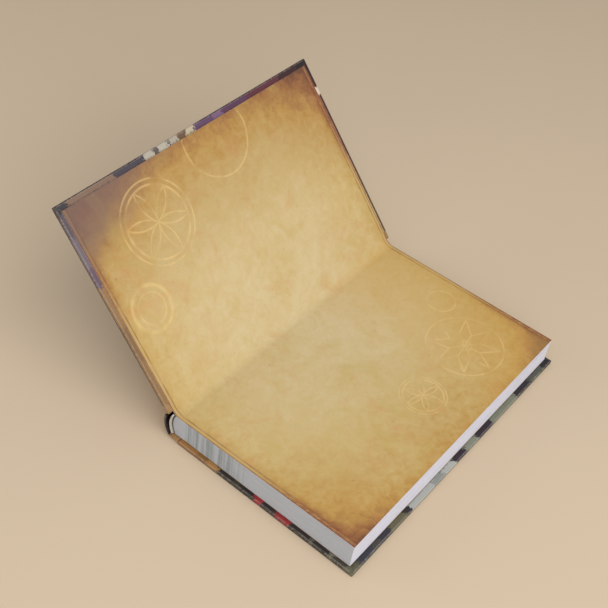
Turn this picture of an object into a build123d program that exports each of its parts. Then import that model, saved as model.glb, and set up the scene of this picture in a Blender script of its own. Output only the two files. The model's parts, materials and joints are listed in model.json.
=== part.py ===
from build123d import *
from math import atan, atan2, cos, degrees, radians, sin
import os

# A case-bound book lying on its back cover with the front cover standing open.
# Lengths are in millimetres: X runs from the spine to the fore edge, Y from tail to head, Z up.
# The origin is the centre of the back cover's outer face, on the table.

# Text block
page_height = 200.0
page_width = 124.5
spine_thickness = 15.4       # pressed thickness of the block at its spine, endpapers included
fore_thickness = 17.7        # the leaves fan open a little towards the fore edge
sections = 11                # folded sections in the block
fold_rise = 0.2              # how far each section's fold stands out between its neighbours
spine_round = 1.8            # how far the rounded spine stands out past its two shoulders
fore_edge_hollow = 0.3

# Papers and boards
endpaper_thickness = 0.25
cover_paper_thickness = 0.3
board_thickness = 2.1
inlay_thickness = 0.45
turn_in = 15.0               # how far the covering is folded over onto the inner side
mitre_gap = 0.3
edge_round = 0.5

# Case
square = 2.75                # how far the boards reach past the pages at head and tail
fore_square = 3.8
joint_width = 6.0            # from the spine's shoulder to the spine side of a board
open_angle = 132.1           # slope of the open front cover, from the fore edge round to the spine
closed_gap = 0.3             # what stays free between the closed front cover and the first leaf
hinge_out = 0.8              # each cover's turning line stands this far out past the shoulder
hinge_rise = 1.06            # and this far past the face of the block

# Hollow back of the case, measured to the middle of the covering
back_low_out = 1.75
back_low_drop = 0.5
back_mid_out = 5.2
back_mid_lift = 1.0
back_top_out = 4.2
back_top_rise = 0.55
inlay_low_margin = 2.6       # covering left free beside each long edge of the inlay
inlay_top_margin = 1.3

# Grooves and folds at the joints
groove_depth = 1.6           # how far the pressed groove beside the back board rises
groove_run = 0.6             # level covering left beside that board
groove_wall = 1.2            # reach of the groove's sloping side
groove_radius = 0.6
fold_radius = 1.2
turned_reach = 1.2           # the front joint's turn-ins lie along the cover down to here
turned_rise = 0.8            # and reach the hollow back by this much of its own line
gutter_reach = 4.4           # where the first leaf comes down flat on the block

# Linings and bands on the spine of the block
glue_film = 0.02
gauze_thickness = 0.35
lining_thickness = 0.3
lining_inset = 1.0
band_tape_length = 12.0
bead_thickness = 1.1
bead_overhang = 1.4
bead_round = 0.4

# Derived sizes
cover_edge = 2 * cover_paper_thickness + board_thickness
block_bottom = cover_edge + endpaper_thickness
spine_top = block_bottom + spine_thickness
fore_top = block_bottom + fore_thickness
inner_face = closed_gap - hinge_rise
board_start = hinge_out + joint_width
cover_reach = hinge_out + page_width + fore_square
cover_height = page_height + 2 * square
hinge_x = -(board_start + cover_reach) / 2
spine_x = hinge_x + hinge_out
fore_x = spine_x + page_width
front_hinge_z = spine_top + hinge_rise
back_hinge_z = block_bottom + inner_face

leaf_slope = atan((fore_thickness - spine_thickness) / page_width)
leaf_drop = endpaper_thickness / cos(leaf_slope)

# Each cover's plane: X along the cover from its turning line, Z out through its outer face
slope = radians(open_angle)
front_plane = Plane(origin=(hinge_x, 0, front_hinge_z), x_dir=(cos(slope), 0, sin(slope)),
                    z_dir=(-sin(slope), 0, cos(slope)))
back_plane = Plane(origin=(hinge_x, 0, back_hinge_z), x_dir=(1, 0, 0), z_dir=(0, 0, -1))

# Levels through a cover, along that Z
turn_in_face = inner_face + endpaper_thickness
board_inner = turn_in_face + cover_paper_thickness
board_outer = board_inner + board_thickness
outer_face = board_outer + cover_paper_thickness

# Rounded spine of the pages and hollow back of the case, as arcs in the XZ plane
page_low = (spine_x, block_bottom + endpaper_thickness)
page_top = (spine_x, spine_top - leaf_drop)
page_mid = (spine_x - spine_round, (block_bottom + spine_top) / 2)
page_back = ThreePointArc(page_low, page_mid, page_top)
case_back = ThreePointArc(
    (spine_x - back_low_out, block_bottom - back_low_drop),
    (spine_x - back_mid_out, (block_bottom + spine_top) / 2 + back_mid_lift),
    (spine_x - back_top_out, spine_top + back_top_rise),
)


def cross_section(y):
    """Vertical plane across the book at a place between tail and head."""
    return Plane.XZ.offset(-y)


def arc_strip(plane, arc, inner, outer, low_trim=0.0, top_trim=0.0):
    """Strip beside an arc, from inner to outer outside it, cut shorter at its two ends."""
    centre = arc.arc_center
    first = (arc @ 1) - centre
    last = (arc @ 0) - centre
    start = (degrees(atan2(first.Y, first.X)) + degrees(top_trim / arc.radius)) % 360
    end = (degrees(atan2(last.Y, last.X)) - degrees(low_trim / arc.radius)) % 360
    with BuildSketch(plane) as strip:
        with BuildLine():
            near = CenterArc(centre, arc.radius + inner, start, end - start)
            far = CenterArc(centre, arc.radius + outer, start, end - start)
            Line(near @ 0, far @ 0)
            Line(near @ 1, far @ 1)
        make_face()
    return strip.sketch


def in_section(point):
    """A point or direction of the book as seen on a cross-section."""
    return Vector(point.X, point.Z)


def fold_corner(start, start_way, end, end_way):
    """Where the lines through two points, each with its own direction, meet on a cross-section."""
    apart = end - start
    reach = (apart.X * end_way.Y - apart.Y * end_way.X) / (start_way.X * end_way.Y - start_way.Y * end_way.X)
    return start + start_way * reach


def fold_strip(plane, points, radius, aside=0.0):
    """Strip of covering along a line with rounded corners, moved aside to its left."""
    ways = [(after - before).normalized() for before, after in zip(points, points[1:])]
    shifts = [Vector(-way.Y, way.X) * aside for way in ways]
    line, radii = [points[0] + shifts[0]], []
    for i, corner in enumerate(points[1:-1]):
        line.append(fold_corner(corner + shifts[i], ways[i], corner + shifts[i + 1], ways[i + 1]))
        turns_left = ways[i].X * ways[i + 1].Y > ways[i].Y * ways[i + 1].X
        radii.append(radius - aside if turns_left else radius + aside)
    line.append(points[-1] + shifts[-1])
    with BuildSketch(plane) as strip:
        with BuildLine():
            FilletPolyline(*line, radius=radii)
        trace(line_width=cover_paper_thickness)
    return strip.sketch


# Text block: the sewn leaves as one solid
valleys = [page_back @ (i / sections) for i in range(sections + 1)]
middles = [page_back @ ((i + 0.5) / sections) for i in range(sections)]
crests = [p + (p - page_back.arc_center).normalized() * fold_rise for p in middles]
with BuildPart() as text_block:
    with BuildSketch(Plane.XZ):
        with BuildLine():
            for i in range(sections):
                ThreePointArc(valleys[i], crests[i], valleys[i + 1])
            fore_low = (fore_x, block_bottom + endpaper_thickness)
            fore_high = (fore_x, fore_top - leaf_drop)
            fore_middle = (fore_x - fore_edge_hollow, (block_bottom + fore_top) / 2)
            Line(page_top, fore_high)
            ThreePointArc(fore_high, fore_middle, fore_low)
            Line(fore_low, page_low)
        make_face()
    extrude(amount=page_height / 2, both=True)
text_block.part.label = "text_block"

# Free leaves of the two endpapers
leaf_start = Vector(spine_x + gutter_reach, spine_top + gutter_reach * sin(leaf_slope) / cos(leaf_slope))
leaf_along = Vector(cos(leaf_slope), sin(leaf_slope))
leaf_down = Vector(sin(leaf_slope), -cos(leaf_slope))
with BuildPart() as front_flyleaf:
    with BuildSketch(Plane.XZ):
        with BuildLine():
            Polyline(
                leaf_start,
                (fore_x, fore_top),
                (fore_x, fore_top - leaf_drop),
                leaf_start + leaf_down * endpaper_thickness,
                close=True,
            )
        make_face()
    extrude(amount=page_height / 2, both=True)
front_flyleaf.part.label = "front_flyleaf"

with BuildPart() as back_flyleaf:
    with BuildSketch(Plane.XY.offset(block_bottom)):
        with Locations(((spine_x + fore_x) / 2, 0)):
            Rectangle(page_width, page_height)
    extrude(amount=endpaper_thickness)
back_flyleaf.part.label = "back_flyleaf"

# Gauze and paper lining glued along the spine between the bands
gauze_length = page_height - 2 * band_tape_length
gauze_inner = fold_rise + glue_film
with BuildPart() as spine_gauze:
    extrude(arc_strip(Plane.XZ, page_back, gauze_inner, gauze_inner + gauze_thickness),
            amount=gauze_length / 2, both=True)
spine_gauze.part.label = "spine_gauze"

lining_inner = gauze_inner + gauze_thickness
with BuildPart() as spine_lining:
    extrude(arc_strip(Plane.XZ, page_back, lining_inner, lining_inner + lining_thickness),
            amount=page_height / 2 - lining_inset, both=True)
spine_lining.part.label = "spine_lining"

# Cloth bands at head and tail: a tape on the spine with a bead over the page edges
bands = {}
for end, tape_y, bead_y in (
    ("head", page_height / 2, page_height / 2 + bead_overhang),
    ("tail", band_tape_length - page_height / 2, -page_height / 2),
):
    with BuildPart() as band:
        extrude(arc_strip(cross_section(bead_y), page_back, gauze_inner, gauze_inner + bead_thickness),
                amount=bead_overhang)
        outermost = band.faces().sort_by(Axis.Y)[-1 if end == "head" else 0]
        fillet(outermost.edges(), radius=min(bead_round, 0.45 * bead_thickness))
        extrude(arc_strip(cross_section(tape_y), page_back, gauze_inner, gauze_inner + gauze_thickness),
                amount=band_tape_length)
    band.part.label = f"{end}_band"
    bands[end] = band

# Flexible inlay that stiffens the hollow back
paper_half = cover_paper_thickness / 2
inlay_inner = -paper_half - inlay_thickness
inlay_length = cover_height - 2 * cover_paper_thickness
with BuildPart() as spine_inlay:
    extrude(arc_strip(Plane.XZ, case_back, inlay_inner, -paper_half, inlay_low_margin, inlay_top_margin),
            amount=inlay_length / 2, both=True)
spine_inlay.part.label = "spine_inlay"

# Covering of the back, doubled by its turn-ins at head and tail, which wrap the inlay's ends
doubled_inner = -paper_half - cover_paper_thickness
turned_inner = inlay_inner - cover_paper_thickness
with BuildPart() as spine_cover:
    extrude(arc_strip(Plane.XZ, case_back, -paper_half, paper_half), amount=cover_height / 2, both=True)
    for turned_y in (cover_height / 2, turn_in - cover_height / 2):
        extrude(arc_strip(cross_section(turned_y), case_back, doubled_inner, -paper_half), amount=turn_in)
        extrude(arc_strip(cross_section(turned_y), case_back, turned_inner, -paper_half,
                          inlay_low_margin - cover_paper_thickness, inlay_top_margin - cover_paper_thickness),
                amount=turn_in)
    extrude(arc_strip(Plane.XZ, case_back, inlay_inner, -paper_half, inlay_low_margin, inlay_top_margin),
            amount=inlay_length / 2, both=True, mode=Mode.SUBTRACT)
spine_cover.part.label = "spine_cover"

# Covers: a board in its covering, lined by the pasted half of the endpaper
covers = []
cover_middle = (board_start + cover_reach) / 2
cover_width = cover_reach - board_start
board_width = cover_width - cover_paper_thickness
board_height = cover_height - 2 * cover_paper_thickness
window_width = cover_width - turn_in
window_height = cover_height - 2 * turn_in
pasted_reach = cover_reach - fore_square
for side, plane in (("front", front_plane), ("back", back_plane)):
    along = Axis(plane.origin, plane.x_dir)

    with BuildPart() as board:
        with BuildSketch(plane.offset(board_inner)):
            with Locations((board_start + board_width / 2, 0)):
                Rectangle(board_width, board_height)
        extrude(amount=board_thickness)
    board.part.label = f"{side}_board"

    with BuildPart() as cover_paper:
        with BuildSketch(plane.offset(turn_in_face)):
            with Locations((cover_middle, 0)):
                Rectangle(cover_width, cover_height)
        extrude(amount=cover_edge)
        rim = cover_paper.edges() - cover_paper.edges().group_by(along)[0]
        fillet(rim, radius=min(edge_round, 1.5 * cover_paper_thickness))
        with BuildSketch(plane.offset(board_inner)):
            with Locations((board_start + board_width / 2, 0)):
                Rectangle(board_width, board_height)
        extrude(amount=board_thickness, mode=Mode.SUBTRACT)
        with BuildSketch(plane.offset(turn_in_face)):
            with Locations((board_start + window_width / 2, 0)):
                Rectangle(window_width, window_height)
        extrude(amount=cover_paper_thickness, mode=Mode.SUBTRACT)
        # Mitred corners, where the turn-ins of two edges meet
        with BuildSketch(plane.offset(turn_in_face)):
            for corner in (1, -1):
                with BuildLine():
                    Line((board_start + window_width - mitre_gap, corner * (window_height / 2 - mitre_gap)),
                         (board_start + board_width - mitre_gap, corner * (board_height / 2 - mitre_gap)))
                trace(line_width=mitre_gap)
        extrude(amount=cover_paper_thickness, mode=Mode.SUBTRACT)
    cover_paper.part.label = f"{side}_cover_paper"

    # The pasted leaf steps down from the turn-ins onto the bare board inside them
    with BuildPart() as pastedown:
        with BuildSketch(plane.offset(inner_face)):
            with Locations(((board_start + pasted_reach) / 2, 0)):
                Rectangle(pasted_reach - board_start, page_height)
        extrude(amount=board_inner - inner_face)
        with BuildSketch(plane.offset(turn_in_face)):
            with Locations(((board_start + pasted_reach) / 2, 0)):
                Rectangle(pasted_reach - board_start, page_height)
            with Locations((board_start + window_width / 2, 0)):
                Rectangle(window_width, window_height, mode=Mode.SUBTRACT)
        extrude(amount=cover_paper_thickness, mode=Mode.SUBTRACT)
        step_width = window_width - endpaper_thickness
        step_height = window_height - 2 * endpaper_thickness
        with BuildSketch(plane.offset(inner_face)):
            with Locations((board_start + step_width / 2, 0)):
                Rectangle(step_width, step_height)
        extrude(amount=cover_paper_thickness, mode=Mode.SUBTRACT)
    pastedown.part.label = f"{side}_pastedown"
    covers.extend([board, cover_paper, pastedown])

# Joint strips of the covering, from each board to the hollow back, doubled by the same turn-ins
case_low = case_back @ 0
case_top = case_back @ 1
case_way_down = (case_back % 0) * -1
case_way_up = case_back % 1
front_way = in_section(front_plane.x_dir)
front_edge = in_section(front_plane.from_local_coords(Vector(board_start, 0, outer_face - paper_half)))
back_edge = Vector(hinge_x + board_start, paper_half)
groove_top = back_edge + Vector(-groove_run - groove_wall, groove_depth)
front_path = [
    front_edge,
    fold_corner(front_edge, front_way, case_top, case_way_up),
    case_top,
]
back_path = [
    case_low,
    fold_corner(case_low, case_way_down, groove_top, Vector(1, 0)),
    groove_top,
    back_edge - Vector(groove_run, 0),
    back_edge,
]
turned_level = board_inner + paper_half
case_inward = Vector(case_way_up.Y, -case_way_up.X)
turned_end = case_top + case_inward * cover_paper_thickness
turned_path = [
    in_section(front_plane.from_local_coords(Vector(board_start, 0, turned_level))),
    in_section(front_plane.from_local_coords(Vector(turned_reach, 0, turned_level))),
    turned_end + case_way_up * turned_rise,
    turned_end,
]
with BuildPart() as front_joint:
    extrude(fold_strip(Plane.XZ, front_path, fold_radius), amount=cover_height / 2, both=True)
    # At head and tail the covering is folded over, down to a layer behind the gutter fold
    for turned_y in (cover_height / 2, turn_in - cover_height / 2):
        extrude(fold_strip(cross_section(turned_y), turned_path, groove_radius), amount=turn_in)
    for end_y in (cover_height / 2, cover_paper_thickness - cover_height / 2):
        with BuildSketch(cross_section(end_y)):
            with BuildLine():
                FilletPolyline(*front_path, radius=fold_radius)
                Line(case_top, turned_end)
                FilletPolyline(*turned_path, radius=groove_radius)
                Line(turned_path[0], front_edge)
            make_face()
        extrude(amount=cover_paper_thickness)
front_joint.part.label = "front_joint"

with BuildPart() as back_joint:
    extrude(fold_strip(Plane.XZ, back_path, groove_radius), amount=cover_height / 2, both=True)
    for turned_y in (cover_height / 2, turn_in - cover_height / 2):
        extrude(fold_strip(cross_section(turned_y), back_path, groove_radius, cover_paper_thickness),
                amount=turn_in)
back_joint.part.label = "back_joint"

# Gutter folds of the endpapers, from each pasted half to its free leaf
leaf_half = endpaper_thickness / 2
pasted_level = board_inner - leaf_half
leaf_end = leaf_start + leaf_down * leaf_half
front_pasted_end = in_section(front_plane.from_local_coords(Vector(board_start, 0, pasted_level)))
front_gutter_fold = fold_corner(front_pasted_end, front_way, leaf_end, leaf_along)
front_gutter_leg = (leaf_end - front_gutter_fold).length
with BuildPart() as front_gutter:
    with BuildSketch(Plane.XZ):
        with BuildLine():
            bend = TangentArc(leaf_end, front_gutter_fold + front_way * front_gutter_leg,
                              tangent=leaf_along * -1)
            Line(bend @ 1, front_pasted_end)
        trace(line_width=endpaper_thickness)
    extrude(amount=page_height / 2, both=True)
front_gutter.part.label = "front_gutter"

back_pasted_end = in_section(back_plane.from_local_coords(Vector(board_start, 0, pasted_level)))
with BuildPart() as back_gutter:
    with BuildSketch(Plane.XZ):
        with BuildLine():
            Spline((spine_x, block_bottom - leaf_half), back_pasted_end, tangents=((1, 0), (1, 0)))
        trace(line_width=endpaper_thickness)
    extrude(amount=page_height / 2, both=True)
back_gutter.part.label = "back_gutter"

os.makedirs("parts", exist_ok=True)
pieces = [text_block, front_flyleaf, back_flyleaf, spine_gauze, spine_lining, spine_inlay, spine_cover]
pieces += [front_joint, back_joint, front_gutter, back_gutter] + list(bands.values()) + covers
for piece in pieces:
    export_step(piece.part, f"parts/{piece.part.label}.step")
print("front hinge", hinge_x, front_hinge_z, "back hinge", hinge_x, back_hinge_z)
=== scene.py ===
import json
import math

import bpy
import numpy as np
from mathutils import Matrix, Vector


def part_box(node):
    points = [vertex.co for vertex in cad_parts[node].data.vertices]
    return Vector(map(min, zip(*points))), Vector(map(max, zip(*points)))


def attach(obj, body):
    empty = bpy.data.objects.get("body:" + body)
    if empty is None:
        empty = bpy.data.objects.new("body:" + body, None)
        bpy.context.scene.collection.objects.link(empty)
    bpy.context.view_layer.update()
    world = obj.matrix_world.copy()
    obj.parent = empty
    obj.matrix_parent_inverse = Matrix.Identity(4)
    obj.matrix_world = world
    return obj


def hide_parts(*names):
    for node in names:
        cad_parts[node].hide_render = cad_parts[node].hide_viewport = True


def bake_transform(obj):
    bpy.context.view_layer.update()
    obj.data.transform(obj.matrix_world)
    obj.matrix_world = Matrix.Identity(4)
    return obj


bl_info = {
    "name": "Case-Bound Book",
    "version": (1, 0, 0),
    "blender": (4, 5, 0),
    "location": "3D View > Sidebar > Book",
    "description": "Dresses the packed book: leaves, endpapers, covering, joints, bands and stage",
    "category": "Object",
}

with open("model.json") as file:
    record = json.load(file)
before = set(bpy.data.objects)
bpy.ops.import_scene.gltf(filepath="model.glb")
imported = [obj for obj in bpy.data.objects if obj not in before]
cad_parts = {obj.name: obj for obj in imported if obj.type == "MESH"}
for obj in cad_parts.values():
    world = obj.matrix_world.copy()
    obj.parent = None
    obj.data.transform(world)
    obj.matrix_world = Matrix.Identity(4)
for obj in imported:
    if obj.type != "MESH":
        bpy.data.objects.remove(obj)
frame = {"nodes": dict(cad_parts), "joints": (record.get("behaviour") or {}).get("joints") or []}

# Sizes in millimetres, in the frame's own axes; the meshes are made in metres
MM = 0.001


def box_mm(node):
    """Lowest and highest corner of a CAD node, in millimetres."""
    low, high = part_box(node)
    return np.array(low) / MM, np.array(high) / MM


def section(x, z):
    """A point or a way in the book's cross-section."""
    return np.array([x, 0.0, z])


def hinge_mm(name):
    """Where a joint's line stands, in millimetres."""
    place = next(j["pos_m"] for j in frame["joints"] if j["name"] == name)
    return np.array(place) / MM


LEAF_LOW, LEAF_HIGH = box_mm("back_flyleaf")
BLOCK_LOW = box_mm("text_block")[0]
COVER_LOW, COVER_HIGH = box_mm("back_cover_paper")
FRONT_HINGE = hinge_mm("front_cover_hinge")
BACK_HINGE = hinge_mm("back_cover_hinge")

# Text block and leaves
SPINE_X = LEAF_LOW[0]
FORE_X = LEAF_HIGH[0]
PAGE_WIDTH = FORE_X - SPINE_X
HALF_PAGE = LEAF_HIGH[1]
BLOCK_FOOT = LEAF_LOW[2]
LEAF = LEAF_HIGH[2] - LEAF_LOW[2]
SPINE_THICKNESS = 15.4
FORE_THICKNESS = 17.7
SPINE_TOP = BLOCK_FOOT + SPINE_THICKNESS
FORE_TOP = BLOCK_FOOT + FORE_THICKNESS
LEAF_SLOPE = math.atan((FORE_THICKNESS - SPINE_THICKNESS) / PAGE_WIDTH)
LEAF_WAY = section(math.cos(LEAF_SLOPE), math.sin(LEAF_SLOPE))
SECTIONS = 11
SECTION_FOLD = 0.2
SPINE_ROUND = 1.8
FORE_HOLLOW = 0.3
GROUP_NOTCH = -0.05
GROUP_DEEPEST = -0.09
SPINE_FOOT = section(SPINE_X, BLOCK_FOOT + LEAF)
SPINE_CROWN = section(SPINE_X, SPINE_TOP - LEAF / math.cos(LEAF_SLOPE))
SPINE_MIDDLE = section(BLOCK_LOW[0] + SECTION_FOLD, (SPINE_FOOT[2] + SPINE_CROWN[2]) / 2)

# Covers: reach runs along a cover from its hinge, and level stands out from the hinge's own
PAPER = 0.3
TURN_IN = 15.0
OPEN_ANGLE = 132.1
INNER_FACE = -0.76
OUTER_FACE = COVER_HIGH[2] - COVER_LOW[2] + INNER_FACE + LEAF
HALF_COVER = COVER_HIGH[1]
BOARD_START = COVER_LOW[0] - BACK_HINGE[0]
COVER_REACH = COVER_HIGH[0] - BACK_HINGE[0]
PASTED_REACH = FORE_X - BACK_HINGE[0]
WINDOW_REACH = COVER_REACH - TURN_IN
WINDOW_HALF = HALF_COVER - TURN_IN
COVER_WAY = section(math.cos(math.radians(OPEN_ANGLE)), math.sin(math.radians(OPEN_ANGLE)))
COVER_OUT = section(-COVER_WAY[2], COVER_WAY[0])

# Front endpaper: the width of its gutter on the block, the ramp down from the turn-ins, the reach
# that stands for what isn't on the cover, and how far the pasted half cockles
GUTTER_REACH = 4.4
RAMP = 4.0
OFF_COVER = -9.0
COCKLE = 0.05

# Hollow back and joints
CASE_LOW = section(SPINE_X - 1.75, BLOCK_FOOT - 0.5)
CASE_MID = section(SPINE_X - 5.2, BLOCK_FOOT + SPINE_THICKNESS / 2 + 1.0)
CASE_TOP = section(SPINE_X - 4.2, SPINE_TOP + 0.55)
BEND_REACHES = (1.9, 3.4)
FOLD_RADIUS = 1.2
TURNED_REACH = 1.2
TURNED_RISE = 0.8
TURN_STEP = 0.35
EDGE_CURL = 0.26
GROOVE_DEPTH = 1.6
GROOVE_RUN = 0.6
GROOVE_WALL = 1.2
GROOVE_RADIUS = 0.6

# Bands: a bead has BEAD_STEPS points along the spine, and a tape one in TAPE_EVERY of them
GLUE_FILM = 0.02
TAPE = 0.35
TAPE_LENGTH = 12.0
BEAD = 1.1
BEAD_OVERHANG = 1.4
BEAD_STEPS = 240
TAPE_EVERY = 6

# Drawn figures: the solid share of a line's width, how softly a line ends, and how they are
# turned, the rosette in degrees and the star in its eighths, 8 of which keep the angle positive
LINE_CORE = 0.35
LINE_END = 0.2
ROSETTE_TURN = 17
STAR_TURN = 8 + 0.3

# Stage: each lamp is its name, its place and size in metres, and its power in watts
FLOOR_HALF = 6.0
STUDIO_LIGHT = (1.0, 0.995, 0.99, 1.0)
STUDIO_POWER = 0.41
LAMPS = (("key", (0.68, -0.32, 0.84), 1.3, 11.2), ("fill", (-0.62, -0.5, 0.24), 0.6, 1.3))
SENSOR_WIDTH = 36.0
CAMERA_SPOT = (258.42 + SPINE_X, -387.77, 502.04)
CAMERA_LOOK = (-0.38386, 0.59287, -0.70792)
CAMERA_ROLL = 8.804


def srgb(red, green, blue):
    """A colour as a screen gives it, 0 to 255, in the linear values that Blender takes."""
    def linear(part):
        part = part / 255
        return part / 12.92 if part <= 0.04045 else ((part + 0.055) / 1.055) ** 2.4
    return (linear(red), linear(green), linear(blue), 1.0)


# Tints laid thinly over the panel's colours
EDGE_STRIP = srgb(198, 164, 104)
OLIVE = srgb(198, 172, 98)
BLUSH = srgb(208, 146, 92)
HONEY = srgb(220, 174, 90)
HAIRLINE = srgb(98, 46, 38)
SINGED = srgb(128, 60, 40)
PALE_WISP = srgb(238, 214, 160)
INK = srgb(104, 114, 116)
# Painted shade for the tail edge of the leaves
TAIL_PAINTED_SHADE = srgb(154, 160, 156)
# Painted shadow on the page edges beside the tail band
TAIL_BAND_PAINTED_SHADOW = srgb(58, 54, 56)
# Painted sheen on the band thread's twist, also used for its paler fluff
PAINTED_SHEEN_AND_FLUFF = srgb(250, 246, 238)
FLOOR_SHADE = srgb(206, 184, 156)


def millimetres(label, words, size):
    """A length property of the panel, from millimetres."""
    return bpy.props.FloatProperty(name=label, description=words, default=size * MM, unit="LENGTH")


def colour(label, words, red, green, blue):
    """A colour property of the panel."""
    return bpy.props.FloatVectorProperty(name=label, description=words, subtype="COLOR", size=3,
                                         min=0, max=1, default=srgb(red, green, blue)[:3])


class BookSizes(bpy.types.PropertyGroup):
    """Sizes of the dressed book that a user would change."""

    leaf_groups: bpy.props.IntProperty(
        name="Leaf groups", description="Ridges on the cut edges of the block", default=84, min=20,
        max=120)
    leaf_stray: millimetres("Leaf stray", "How far a group of leaves stands in or out", 0.05)
    flyleaf_lift: millimetres("Flyleaf lift", "How far the first leaf's fore edge lifts", 0.16)
    thread_pitch: millimetres("Thread pitch", "Distance between the threads of the bands", 0.62)
    camera_lens: bpy.props.FloatProperty(
        name="Camera lens", description="Focal length on a 36 mm wide sensor", default=66.17,
        min=20, max=200)


class BookColours(bpy.types.PropertyGroup):
    """Colours of the dressed book that a user would change."""

    parchment_light: colour("Parchment light", "Middle of the endpapers", 217, 196, 150)
    parchment_mid: colour("Parchment mid", "Between the middle and the edges", 206, 178, 117)
    parchment_dark: colour("Parchment dark", "Aged edges of the endpapers", 191, 148, 76)
    parchment_brown: colour("Parchment brown", "Burnt edges of the endpapers", 156, 104, 58)
    parchment_corner: colour("Parchment corner", "Burnt corners of the endpapers", 108, 66, 46)
    parchment_dusk: colour("Parchment dusk", "Violet tint of one outer corner", 128, 102, 92)
    gilding: colour("Line figures", "Pale golden lines on the endpapers", 238, 204, 138)
    page: colour("Page edges", "Cut edges of the leaves", 214, 214, 226)
    page_shade: colour("Page shade", "Shaded lines between the leaves", 178, 175, 182)
    cover_tan: colour("Cover tan", "Covering near the spine", 176, 136, 86)
    cover_umber: colour("Cover umber", "Shaded covering at the spine", 112, 78, 46)
    cover_dusk: colour("Cover dusk", "Covering towards the fore edge", 66, 54, 62)
    cover_wine: colour("Cover wine", "Wine-coloured clouds of the covering", 84, 38, 46)
    cover_black: colour("Cover black", "Outermost rim of the covering", 30, 23, 22)
    cover_pale: colour("Cover pale", "Pale haze and worn edges of the covering", 178, 170, 158)
    cover_gold: colour("Cover gold", "Rules and emblem on the covering", 186, 144, 84)
    board: colour("Greyboard", "Board inside the covers", 128, 122, 110)
    cloth: colour("Band cloth", "Bands at head and tail", 206, 196, 182)
    cloth_stripe: colour("Band stripe", "Second thread of the bands", 170, 158, 142)
    lining: colour("Lining", "Paper on the spine of the block", 168, 140, 104)
    floor: colour("Floor", "Plain ground and backdrop", 219, 198, 170)


def shade(value):
    """What a socket takes for a name of the panel's colours; other values stay as they are."""
    if isinstance(value, str):
        return (*getattr(bpy.context.scene.book_colours, value), 1.0)
    return value


class Value:
    """A number that varies over a surface: arithmetic on it adds Math nodes."""

    def __init__(self, finish, socket):
        self.finish = finish
        self.socket = socket

    def __add__(self, other):
        return self.finish.math("ADD", self, other)

    def __sub__(self, other):
        return self.finish.math("SUBTRACT", self, other)

    def __rsub__(self, other):
        return self.finish.math("SUBTRACT", other, self)

    def __mul__(self, other):
        return self.finish.math("MULTIPLY", self, other)

    def __truediv__(self, other):
        return self.finish.math("DIVIDE", self, other)

    def __abs__(self):
        return self.finish.math("ABSOLUTE", self)

    __radd__ = __add__
    __rmul__ = __mul__


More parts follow.
